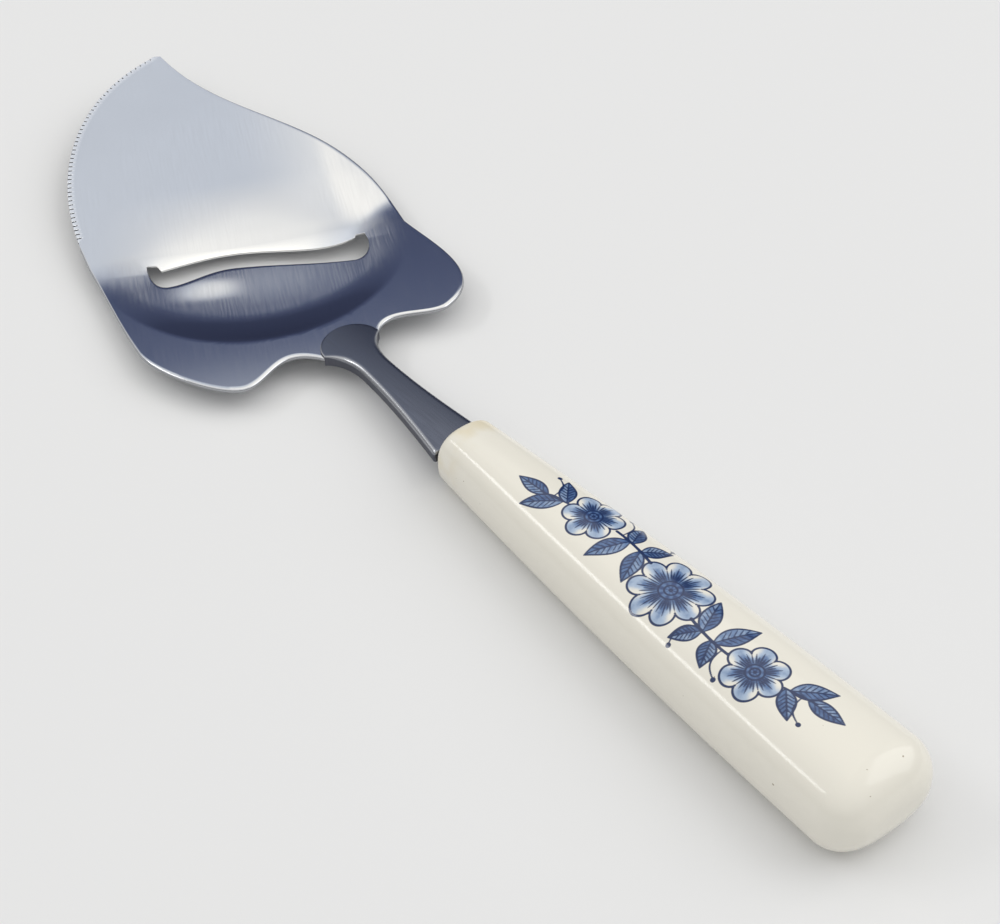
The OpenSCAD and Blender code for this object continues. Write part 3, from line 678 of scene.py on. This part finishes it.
def shank():
    """Bar carried along the blade: each section has a crowned top, rounded edges and a flat underside."""
    x, half, under, edge = (column[:, None] for column in shank_stations())
    edge_w = np.minimum(edge, 0.5 * half)
    a = np.linspace(0, math.pi / 2, ROUND_STEPS + 1)
    flat = np.linspace(1, -1, TOP_STEPS + 1)[1:-1]

    def crown(y):
        return SHANK_T / 2 - CROWN_R + np.sqrt(CROWN_R ** 2 - y ** 2)

    shoulder_z = crown(half - edge_w)
    edge_h = np.minimum(edge, 0.45 * (shoulder_z - under))
    foot = np.minimum(UNDER_R, 0.3 * half)
    side_y = half - edge_w * (1 - np.cos(a))
    side_z = shoulder_z - edge_h * (1 - np.sin(a))
    foot_y = half - foot * (1 - np.sin(a))
    foot_z = under + foot * (1 - np.cos(a))
    top_y = (half - edge_w) * flat
    y = np.concatenate([foot_y, side_y, top_y, -side_y[:, ::-1], -foot_y[:, ::-1]], 1)
    z = np.concatenate([foot_z, side_z, crown(top_y), side_z[:, ::-1], foot_z[:, ::-1]], 1)
    y = y - LEAN * np.maximum(0, x) / SHANK_LEN
    sections = np.stack([np.broadcast_to(x, y.shape), y, z], -1)
    tail = np.broadcast_to([-TANG_LEN, 0, 0], sections[:1].shape)
    sections = np.concatenate([tail, sections])
    faces = grid_faces(*sections.shape[:2], closed=True)
    points = sections.reshape(-1, 3)
    # The sides are sheared and darkened by painted shade, and the rounded edges are worn and lightened by a
    # painted highlight
    wall = np.concatenate([0 * a + 1, np.clip(1 - WALL_FADE * a, 0, 1)])
    worn_highlight = np.concatenate([0 * a, WORN_HIGHLIGHT_SHARE * np.sin(2 * a)])
    values = {
        name: np.tile(np.concatenate([side, 0 * flat, side[::-1]]), len(sections))
        for name, side in (("sheared_shade", wall), ("ground", worn_highlight))
    }
    return new_piece("shank_visual", in_handle(points), faces, "shank", values, points[:, :2])


# Handle

PRINT_MIDDLE, PRINT_HALF_LEN = 57.0, 40.0
UPPER_SHARE, UPPER_STEPS, LOWER_STEPS = 0.93, 111, 50
MOUTH_STEPS, BUTT_STEPS, BODY_STEPS = 9, 25, (24, 471, 10)
MOUTH_FLARE = 1.04


def handle_sizes(d):
    """Half width, half thickness and middle height of the section at a distance from the mouth."""
    s = d / HANDLE_LEN
    half_w = (MOUTH_W + (BUTT_W - MOUTH_W) * s + 4 * BELLY_W * s * (1 - s)) / 2
    half_t = (MOUTH_T + (BUTT_T - MOUTH_T) * s + 4 * BELLY_T * s * (1 - s)) / 2
    return half_w, half_t, (MOUTH_T + (BUTT_T - MOUTH_T) * s) / 2 - FLAT_DEPTH


def handle():
    """Handle carried from the bottom of its cavity, round its mouth and along its outside to the butt.

    Each outer section is a superellipse that is cut off at the resting flat. Quarter rounds inset
    the sections at the mouth and at the butt. The cavity's sections are rounded rectangles.
    """
    spread = np.linspace(UPPER_SHARE, -UPPER_SHARE, UPPER_STEPS)
    upper = np.arccos(np.sign(spread) * np.abs(spread) ** (SQUARENESS / 2))
    lower = np.linspace(upper[-1], upper[0] + 2 * math.pi, LOWER_STEPS)[1:-1]
    a = np.concatenate([upper, lower])
    cos_a, sin_a = np.cos(a), np.sin(a)
    bulge_y = np.sign(cos_a) * np.abs(cos_a) ** (2 / SQUARENESS)
    bulge_z = np.sign(sin_a) * np.abs(sin_a) ** (2 / SQUARENESS)

    turn = np.linspace(0, math.pi / 2, MOUTH_STEPS)[:-1]
    butt_turn = np.linspace(0, math.pi / 2, BUTT_STEPS)[1:]
    print_start, print_end = PRINT_MIDDLE - PRINT_HALF_LEN, PRINT_MIDDLE + PRINT_HALF_LEN
    butt_start = HANDLE_LEN - BUTT_ROUND
    body = np.concatenate([
        np.linspace(MOUTH_ROUND, print_start, BODY_STEPS[0]),
        np.linspace(print_start, print_end, BODY_STEPS[1])[1:],
        np.linspace(print_end, butt_start, BODY_STEPS[2])[1:],
    ])
    d = np.concatenate([
        MOUTH_ROUND * (1 - np.cos(turn)), body, butt_start + BUTT_ROUND * np.sin(butt_turn),
    ])[:, None]
    inset_by = np.concatenate([
        MOUTH_ROUND * (1 - np.sin(turn)), 0 * body, BUTT_ROUND * (1 - np.cos(butt_turn)),
    ])[:, None]
    half_w, half_t, middle = handle_sizes(d)
    y = (half_w - inset_by) * bulge_y
    z = np.maximum(0, middle + (half_t - inset_by) * bulge_z)
    skin = np.stack([np.broadcast_to(HANDLE_LEN / 2 - d, y.shape), y, z], -1)
    butt = np.broadcast_to([-HANDLE_LEN / 2, 0, middle[-1, 0]], skin[:1].shape)

    cavity_y = np.sign(cos_a) * (CAVITY_W / 2 - CAVITY_ROUND) + CAVITY_ROUND * cos_a
    cavity_z = np.sign(sin_a) * (CAVITY_T / 2 - CAVITY_ROUND) + CAVITY_ROUND * sin_a
    deep = np.array([CAVITY_DEPTH, CAVITY_DEPTH, CAVITY_DEPTH / 2, 1, 0.25, 0])[:, None]
    wide = np.array([0, 1, 1, 1, 1, MOUTH_FLARE])[:, None]
    along = np.broadcast_to(-deep, (len(deep), len(a)))
    cavity = in_handle(np.stack([along, wide * cavity_y, wide * cavity_z], -1))
    cavity[-1, :, 0] = HANDLE_LEN / 2
    rings = np.concatenate([cavity, skin, butt])
    faces = grid_faces(*rings.shape[:2], closed=True)
    points = rings.reshape(-1, 3)
    p, q = HANDLE_LEN / 2 - points[:, 0] - PRINT_MIDDLE, points[:, 1]
    outside = np.repeat(np.arange(len(rings)) >= len(cavity), len(a)) & (points[:, 2] > MOUTH_Z)
    ink, wash = printed(p, q, outside)
    return new_piece("handle_visual", points, faces, "handle",
                     {"ink": ink, "wash": wash}, np.stack([p, q], -1))


# Print on the handle: a sprig of blossoms and leaves

INK_FAR = 1.0
STEM_SWING, STEM_PITCH, STEM_STOP = 2.6, 9.5, 0.95


def wave(p):
    """Stem of the sprig: a slow sine along the handle."""
    return STEM_SWING * np.sin(p / STEM_PITCH)


def stroke(points, half_width, taper):
    """Brush stroke: its points, and a half width that thins towards both ends."""
    t = np.linspace(-1, 1, len(points))
    return np.asarray(points, float), half_width * (1 - taper * t ** 2)


def turned(points, place, angle):
    """Points turned by an angle and moved to a place."""
    c, s = math.cos(angle), math.sin(angle)
    x, y = np.asarray(points, float)[..., 0], np.asarray(points, float)[..., 1]
    return np.stack([place[0] + x * c - y * s, place[1] + x * s + y * c], -1)


def blossom(place, radius, petals, angle):
    """Strokes and wash of a blossom: scalloped petals, strokes out of its heart, and rings round it."""

    def reach(turn):
        return radius * (0.7 + 0.3 * np.abs(np.cos(petals * turn / 2)) ** 0.6)

    turn = np.linspace(0, 2 * math.pi, 60 * petals + 1)
    outline = np.stack([reach(turn) * np.cos(turn), reach(turn) * np.sin(turn)], -1)
    strokes = [stroke(turned(outline, place, angle), 0.2, 0)]
    for k in range(petals):
        for offset, end in ((0, 0.78), (-0.15, 0.6), (0.15, 0.6), (-0.3, 0.7), (0.3, 0.7), (0.5, 0.66)):
            a = 2 * math.pi * (k + offset) / petals
            r = np.linspace(0.3, end, 24)[:, None] * radius
            strokes.append(stroke(turned(r * [math.cos(a), math.sin(a)], place, angle), 0.15, 0.5))
    heart = np.linspace(0, 2 * math.pi, 60)
    for share in (0.28, 0.15, 0.03):
        ring = radius * share * np.stack([np.cos(heart), np.sin(heart)], -1)
        strokes.append(stroke(turned(ring, place, angle), 0.18, 0))

    def wash(p, q):
        dx, dy = p - place[0], q - place[1]
        r = np.hypot(dx, dy)
        a = np.arctan2(dy, dx) - angle
        tone = 0.22 + 0.75 * ease((0.85 - r / reach(a)) / 0.6) + 0.2 * np.sin(petals * a + 0.8)
        return np.where(r < reach(a), tone, 0)

    return strokes, wash


def leaf(place, length, width, angle):
    """Strokes and wash of a leaf: two bowed edges that meet at both ends, a midrib and slanted veins."""

    def bow(t):
        return width / 2 * np.sin(math.pi * t ** 0.8)

    t = np.linspace(0, 1, 60)
    strokes = []
    for side in (-1, 1):
        strokes.append(stroke(turned(np.stack([length * t, side * bow(t)], -1), place, angle), 0.19, 0.3))
        for share in (0.16, 0.28, 0.4, 0.52, 0.64):
            rib = np.linspace(0, 0.8, 14)
            vein = np.stack([length * (share + 0.2 * rib), side * bow(share + 0.12) * rib], -1)
            strokes.append(stroke(turned(vein, place, angle), 0.13, 0.3))
    strokes.append(stroke(turned(np.stack([length * t, 0 * t], -1), place, angle), 0.16, 0.3))

    def wash(p, q):
        c, s = math.cos(angle), math.sin(angle)
        x = ((p - place[0]) * c + (q - place[1]) * s) / length
        y = -(p - place[0]) * s + (q - place[1]) * c
        inside = (x > 0) & (x < 1) & (np.abs(y) < bow(np.clip(x, 0, 1)))
        return np.where(inside, np.where(y > 0, 0.95, 0.55), 0)

    return strokes, wash


def sprig():
    """All strokes and washes of the print: a waving stem with blossoms, leaves, tendrils and buds.

    The half towards the butt is the other half turned round the middle of the print.
    """
    blossoms = ((0, 7.4, 8, 0.2), (-22, 5.6, 6, 0.5), (22, 5.6, 6, 0.1))
    leaves = (
        (-13.2, 8.2, 3.6, 1.95), (-10.2, 7.6, 3.4, 1.15), (-12.6, 5.2, 3, -2.05), (-10, 5.4, 3, -0.95),
        (-28.4, 7.6, 3.4, 2.35), (-27.6, 6.2, 3, -2.4), (-31.5, 7.2, 2.9, 3.05),
    )
    tendrils = ((-15.2, -2.3), (-30.5, -2.4), (-8.6, -1.6))
    p = np.linspace(-33, 33, 500)
    points, half_width = stroke(np.stack([p, wave(p)], -1), 0.3, 0.4)
    bare = np.full(len(p), True)
    strokes, washes = [], []
    for x, radius, petals, angle in blossoms:
        bare &= np.hypot(p - x, wave(p) - wave(x)) > STEM_STOP * radius
        more, wash = blossom((x, wave(x)), radius, petals, angle)
        strokes += more
        washes.append(wash)
    strokes.append((points[bare], half_width[bare]))
    t = np.linspace(0, 1, 60)
    for end in (0, 1):
        half_turn, sign = math.pi * end, 1 - 2 * end
        for x, length, width, angle in leaves:
            place = np.array([sign * x, sign * wave(x)])
            more, wash = leaf(place, length, width, angle + half_turn)
            strokes += more
            washes.append(wash)
        for x, angle in tendrils:
            bend = np.stack([5.4 * t, 1.5 * np.sin(math.pi * t) + 0.9 * t ** 3], -1)
            place = np.array([sign * x, sign * wave(x)])
            tendril = turned(bend, place, angle + half_turn)
            bud = tendril[-1:] + [[0, 0], [0.1, 0]]
            strokes += [stroke(tendril, 0.17, 0.3), stroke(bud, 0.42, 0)]
    return strokes, washes


def printed(p, q, outside):
    """Print at each point: ink is the distance past the nearest stroke's edge, wash the depth of tone."""
    ink = np.full(len(p), INK_FAR)
    wash = np.zeros(len(p))
    strokes, washes = sprig()
    for points, half_width in strokes:
        low, high = points.min(axis=0) - INK_FAR, points.max(axis=0) + INK_FAR
        near = np.flatnonzero(outside & (p > low[0]) & (p < high[0]) & (q > low[1]) & (q < high[1]))
        gap = np.hypot(p[near, None] - points[:, 0], q[near, None] - points[:, 1]) - half_width
        if len(near):
            ink[near] = np.minimum(ink[near], gap.min(axis=1))
    for tone in washes:
        wash = np.where(outside, np.maximum(wash, tone(p, q)), wash)
    return ink, wash


# Materials


def linear(red, green, blue):
    """Display colour from 0 to 255 as the linear colour that a shader takes."""
    c = np.array([red, green, blue]) / 255
    low, high = c / 12.92, ((c + 0.055) / 1.055) ** 2.4
    return (*np.where(c <= 0.04045, low, high), 1)


def darker(colour, share):
    """Colour brought down to a share of itself."""
    return tuple(c * share for c in colour[:3]) + (1,)


# Pale tint of ground edges, partly a painted highlight; dark tint of sheared walls, painted shade
GROUND_HIGHLIGHT_TINT, GROUND_ROUGH = (0.97, 0.97, 0.96, 1), 0.08
SHEARED_SHADE_TINT, SHEARED_ROUGH = (0.12, 0.125, 0.15, 1), 0.35
BRUSHED_ROUGH = (0.045, 0.08)
GLAZE, STAIN, SPECK = linear(236, 232, 220), linear(222, 208, 172), linear(176, 164, 146)
PALE_WASH, MIDDLE_WASH, DEEP_WASH = linear(170, 188, 211), linear(90, 119, 163), linear(48, 70, 116)
INK = linear(34, 51, 90)
STAIN_FAR, STAIN_NEAR = 8.5, 1.5


class Shader:
    """Nodes of a material or of the world, which are added and joined by short calls."""

    def __init__(self, owner, surface="Principled BSDF"):
        owner.use_nodes = True
        self.owner, self.tree = owner, owner.node_tree
        self.surface = self.tree.nodes[surface]

    def node(self, kind, settings=None, **inputs):
        """Node of a kind, with settings, and with inputs that are values or other nodes' outputs."""
        made = self.tree.nodes.new("ShaderNode" + kind)
        for key, value in (settings or {}).items():
            setattr(made, key, value)
        for key, value in inputs.items():
            self.put(made, key.replace("_", " "), value)
        return made

    def put(self, made, key, value):
        """Joins an output to an input, or sets the input's value."""
        socket = made.inputs[int(key[1:])] if key[0] == "i" and key[1:].isdigit() else made.inputs[key]
        if isinstance(value, bpy.types.NodeSocket):
            self.tree.links.new(value, socket)
        else:
            socket.default_value = value

    def finish(self, **inputs):
        """Sets the surface's inputs and returns the material or the world."""
        for key, value in inputs.items():
            self.put(self.surface, key.replace("_", " "), value)
        return self.owner

    def math(self, operation, a, b):
        """Result of arithmetic on two numbers."""
        return self.node("Math", {"operation": operation}, i0=a, i1=b).outputs[0]

    def remap(self, value, low, high, to_low=0.0, to_high=1.0):
        """Value carried smoothly from one range to another, and held at its ends."""
        return self.node("MapRange", {"interpolation_type": "SMOOTHSTEP"}, Value=value,
                         From_Min=low, From_Max=high, To_Min=to_low, To_Max=to_high).outputs[0]

    def mix(self, share, a, b):
        """Colour b over colour a by a share."""
        return self.node("Mix", {"data_type": "RGBA"}, i0=share, i6=a, i7=b).outputs[2]

    def noise(self, vector, scale, stretch=(1, 1, 1), detail=3.0):
        """Noise over a vector, stretched by different scales along its axes."""
        moved = self.node("Mapping", Vector=vector, Scale=stretch)
        return self.node("TexNoise", Vector=moved.outputs[0], Scale=scale, Detail=detail).outputs[0]

    def attribute(self, name):
        """Number that the mesh holds under a name."""
        return self.node("Attribute", {"attribute_name": name}).outputs["Fac"]


def steel(name, colour, stretch, roughness, streak_share, head=False):
    """Brushed steel: streaks stretched along the brushing vary its roughness and colour.

    Ground edges are paler, partly as a painted highlight, and sheared walls are rougher and darker as
    painted shade. On the head, the dish is brushed more.
    """
    shader = Shader(bpy.data.materials.new(name))
    layout = shader.node("UVMap").outputs[0]
    streaks = shader.noise(layout, 90.0, stretch, 4.0)
    clouds = shader.noise(shader.node("TexCoord").outputs["Object"], 45.0)
    tint = shader.mix(shader.remap(clouds, 0.3, 0.75, 0.0, 0.5), colour, darker(colour, 0.9))
    tint = shader.mix(shader.remap(streaks, 0.35, 0.7), tint, darker(colour, 1 - streak_share))
    rough = shader.remap(streaks, 0.25, 0.75, roughness * 0.85, roughness * 1.2)
    if head:
        rubbed = shader.remap(streaks, 0.3, 0.7, *BRUSHED_ROUGH)
        rough = shader.math("ADD", rough, shader.math("MULTIPLY", shader.attribute("brushed"), rubbed))
    # Painted highlight, partly: ground edges get a pale tint
    edge = shader.attribute("ground")
    tint = shader.mix(edge, tint, GROUND_HIGHLIGHT_TINT)
    rough = shader.math("ADD", rough, shader.math("MULTIPLY", edge, GROUND_ROUGH))
    # Painted shade: sheared walls get a dark tint
    wall = shader.attribute("sheared_shade")
    tint = shader.mix(wall, tint, SHEARED_SHADE_TINT)
    rough = shader.math("ADD", rough, shader.math("MULTIPLY", wall, SHEARED_ROUGH))
    return shader.finish(Base_Color=tint, Metallic=1.0, Roughness=rough)


def porcelain():
    """Glazed porcelain, with the sprig printed under the glaze, a faint stain at the mouth and specks."""
    shader = Shader(bpy.data.materials.new("porcelain"))
    place = shader.node("TexCoord").outputs["Object"]
    along = shader.node("SeparateXYZ", Vector=place).outputs[0]
    far, near = ((HANDLE_LEN / 2 - gap) * METRES for gap in (STAIN_FAR, STAIN_NEAR))
    stained = shader.math("MULTIPLY", shader.remap(along, far, near, 0.0, 0.6),
                          shader.remap(shader.noise(place, 160.0), 0.4, 0.7))
    body = shader.mix(stained, GLAZE, STAIN)
    specks = shader.remap(shader.noise(place, 1100.0, detail=0.0), 0.88, 0.9)
    body = shader.mix(specks, body, SPECK)
    tone = shader.attribute("wash")
    grain = shader.noise(place, 900.0)
    patchy = shader.math("MULTIPLY", tone, shader.remap(grain, 0.2, 0.8, 0.7, 1.15))
    washed = shader.mix(shader.remap(patchy, 0.0, 0.3), body, PALE_WASH)
    washed = shader.mix(shader.remap(patchy, 0.25, 0.65), washed, MIDDLE_WASH)
    washed = shader.mix(shader.remap(patchy, 0.65, 1.15), washed, DEEP_WASH)
    inked = shader.mix(shader.remap(shader.attribute("ink"), 0.07, -0.07), washed, INK)
    return shader.finish(Base_Color=inked, Roughness=0.12)


def plain(name, colour, roughness, metallic=0.0):
    """Plain surface with a little unevenness of tone."""
    shader = Shader(bpy.data.materials.new(name))
    clouds = shader.noise(shader.node("TexCoord").outputs["Object"], 400.0)
    tint = shader.mix(shader.remap(clouds, 0.3, 0.7, 0.0, 0.3), colour, darker(colour, 0.85))
    return shader.finish(Base_Color=tint, Roughness=roughness, Metallic=metallic)


def dress(piece, material):
    """Gives a piece one material."""
    piece.data.materials.clear()
    piece.data.materials.append(material)


dress(slicing_head(), steel("head_steel", colour=(0.70, 0.71, 0.73, 1), stretch=(3, 0.12, 1),
                            roughness=0.07, streak_share=0.03, head=True))
# The shank's steel colour is far darker and bluer than the head's: painted shade and painted blue reflection
dress(shank(), steel("shank_steel", colour=(0.155, 0.17, 0.215, 1), stretch=(0.15, 4, 1),
                     roughness=0.2, streak_share=0.12))
dress(handle(), porcelain())
dress(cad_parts["weld_bead"], plain("weld", (0.42, 0.41, 0.40, 1), 0.45, 1.0))
dress(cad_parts["tang_cement"], plain("cement", linear(120, 112, 98), 0.9))


# Floor, light and camera

# The dark card: its compass direction, the cosines between which its sides fade, and its colours at
# heights over the horizon in degrees
CARD_AHEAD, CARD_EDGE = (0.866, -0.5, 0), (0.88, 0.95)
CARD_BANDS = (
    (0, (0.03, 0.036, 0.07)),
    (26, (0.045, 0.055, 0.105)),
    (34, (0.085, 0.105, 0.19)),
    (36.0, (0.12, 0.145, 0.24)),
    (36.9, (0.32, 0.35, 0.44)),
    (38.2, (0.70, 0.745, 0.83)),
    (39.9, (0.75, 0.795, 0.87)),
    (42, (0.84, 0.865, 0.905)),
    (44.4, (0.96, 0.965, 0.97)),
    (47, (1.13, 1.12, 1.085)),
    (52, (1.2, 1.18, 1.13)),
)
# The glow: the side it is on, its colour, and where it fades to the side and by the sine of the height
GLOW_ASIDE, GLOW_COLOUR = (-0.515, -0.857, 0), (1.3, 1.27, 1.2, 1)
GLOW_SIDE, GLOW_HEIGHT = (-0.053, 0.027), (0.61, 0.635)
# The wall: its colours low and high, and the sines of the heights where it has them
WALL_COLOURS, WALL_HEIGHT = ((0.32, 0.325, 0.34, 1), (0.92, 0.92, 0.91, 1)), (0.08, 0.8)


def floor():
    """Pale level floor under the slicer."""
    half = 2.5
    mesh = bpy.data.meshes.new("floor")
    corners = [(-half, -half, 0), (half, -half, 0), (half, half, 0), (-half, half, 0)]
    mesh.from_pydata(corners, [], [(0, 1, 2, 3)])
    made = bpy.data.objects.new("floor", mesh)
    bpy.context.scene.collection.objects.link(made)
    shader = Shader(bpy.data.materials.new("floor"))
    dress(made, shader.finish(Base_Color=(0.80, 0.80, 0.80, 1), Roughness=0.9, Specular_IOR_Level=0.1))


def sky():
    """Studio with a dark card ahead, and a plain wall all around that is paler higher up.

    The card's colour goes by the sine of the height over the horizon, and it ends at a compass
    direction to each side. A glow brightens the part over the card towards one side.
    """
    shader = Shader(bpy.data.worlds.new("studio"), "Background")
    direction = shader.node("TexCoord").outputs["Generated"]
    height = shader.node("SeparateXYZ", i0=direction).outputs[2]

    def cosine(vector, target):
        return shader.node("VectorMath", {"operation": "DOT_PRODUCT"}, i0=vector, i1=target).outputs["Value"]

    ramp = shader.node("ValToRGB", i0=height)
    steps = ramp.color_ramp.elements
    while len(steps) < len(CARD_BANDS):
        steps.new(0.5)
    for step, (elevation, _) in zip(steps, CARD_BANDS):
        step.position = math.sin(math.radians(elevation))
    for step, (_, colour) in zip(steps, CARD_BANDS):
        step.color = (*colour, 1)
    glowing = shader.math("MULTIPLY", shader.remap(cosine(direction, GLOW_ASIDE), *GLOW_SIDE),
                          shader.remap(height, *GLOW_HEIGHT))
    card = shader.mix(glowing, ramp.outputs[0], GLOW_COLOUR)
    level = shader.node("VectorMath", {"operation": "MULTIPLY"}, i0=direction, i1=(1, 1, 0)).outputs[0]
    compass = shader.node("VectorMath", {"operation": "NORMALIZE"}, i0=level).outputs[0]
    on_card = shader.remap(cosine(compass, CARD_AHEAD), *CARD_EDGE)
    wall = shader.mix(shader.remap(height, *WALL_HEIGHT), *WALL_COLOURS)
    bpy.context.scene.world = shader.finish(Color=shader.mix(on_card, wall, card))


def lamp(name, place, size, watts):
    """Soft lamp of a width and a height, aimed at the origin."""
    light = bpy.data.lights.new(name, "AREA")
    light.shape = "RECTANGLE"
    light.size, light.size_y = size
    light.energy = watts
    made = bpy.data.objects.new(name, light)
    made.location = place
    made.rotation_euler = (-Vector(place)).to_track_quat("-Z", "Y").to_euler()
    bpy.context.scene.collection.objects.link(made)


def camera(place, forward, right, roll, lens):
    """Camera at a place, looking forward, turned about its view by a roll in degrees."""
    forward, right = Vector(forward).normalized(), Vector(right).normalized()
    up = right.cross(forward)
    c, s = math.cos(math.radians(roll)), math.sin(math.radians(roll))
    across, above = c * right + s * up, c * up - s * right
    data = bpy.data.cameras.new("camera")
    data.sensor_fit = "HORIZONTAL"
    data.sensor_width, data.lens = 36, lens
    data.clip_start, data.clip_end = 0.01, 20
    made = bpy.data.objects.new("camera", data)
    made.matrix_world = Matrix((
        (across.x, above.x, -forward.x, place[0]),
        (across.y, above.y, -forward.y, place[1]),
        (across.z, above.z, -forward.z, place[2]),
        (0, 0, 0, 1),
    ))
    bpy.context.scene.collection.objects.link(made)
    bpy.context.scene.camera = made


floor()
sky()
lamp("key_lamp", place=(0.75, 0.62, 0.85), size=(0.7, 0.12), watts=1.5)
lamp("fill_lamp", place=(-0.6, -1.3, 1.3), size=(1.6, 1.6), watts=10)
camera(place=(-0.1674, 0.1566, 0.2532), forward=(0.5895, -0.4382, -0.6786), right=(-0.5966, -0.8026, 0),
       roll=-1.7364, lens=72.05)

view = bpy.context.scene.view_settings
view.view_transform = "Standard"
